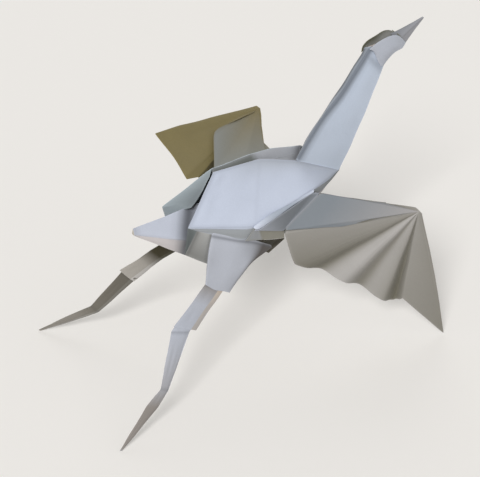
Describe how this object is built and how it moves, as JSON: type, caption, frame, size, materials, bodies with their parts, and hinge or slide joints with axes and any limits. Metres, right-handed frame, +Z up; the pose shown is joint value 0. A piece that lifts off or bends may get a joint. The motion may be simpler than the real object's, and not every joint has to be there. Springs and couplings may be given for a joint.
{
  "type": "origami crane",
  "caption": "Origami crane folded from one sheet, wings spread and pleated, neck raised, standing on both toes and one wing tip.",
  "frame": {"origin": "middle of the bird's box, on the floor that it stands on", "axes": "+X the way the beak points, +Y to the bird's left, +Z up from the floor"},
  "size_m": [0.28, 0.1698, 0.2363],
  "materials": {
    "paper": "matte folding paper, bluish white outside, aged cream inside"
  },
  "bodies": {
    "root": {"folded_sheet": "paper"}
  },
  "joints": []
}
